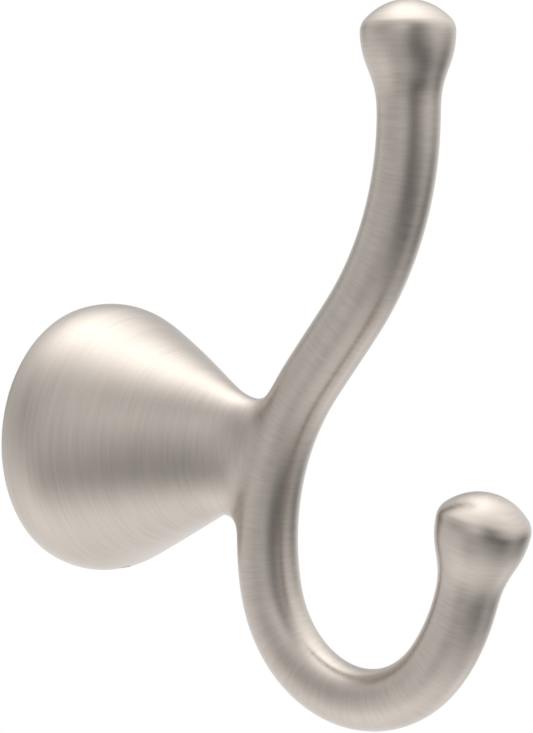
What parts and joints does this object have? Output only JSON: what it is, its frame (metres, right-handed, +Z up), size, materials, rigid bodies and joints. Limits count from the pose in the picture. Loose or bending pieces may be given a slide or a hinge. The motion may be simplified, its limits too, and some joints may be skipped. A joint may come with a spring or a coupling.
{
  "type": "double robe hook",
  "caption": "Wall robe hook: flared round post, S-shaped bar with a tall upper arm and a lower crook, mushroom knobs, hidden bracket and set screw.",
  "frame": {"origin": "centre of the post's back rim and of the bracket's back, on the wall", "axes": "+Y into the wall, -Y the way the hook stands out, +Z up, X = 0 the plane of symmetry"},
  "size_m": [0.0516, 0.1264, 0.1322],
  "materials": {
    "brushed_nickel": "satin brushed nickel plating on a zinc casting",
    "zinc_plated_steel": "zinc plated steel strip",
    "screw_steel": "bright zinc plated screws",
    "set_screw_steel": "plain stainless steel"
  },
  "bodies": {
    "root": {"hook_body": "brushed_nickel", "wall_bracket": "zinc_plated_steel", "set_screw": "set_screw_steel", "wall_screws": "screw_steel"}
  },
  "joints": []
}
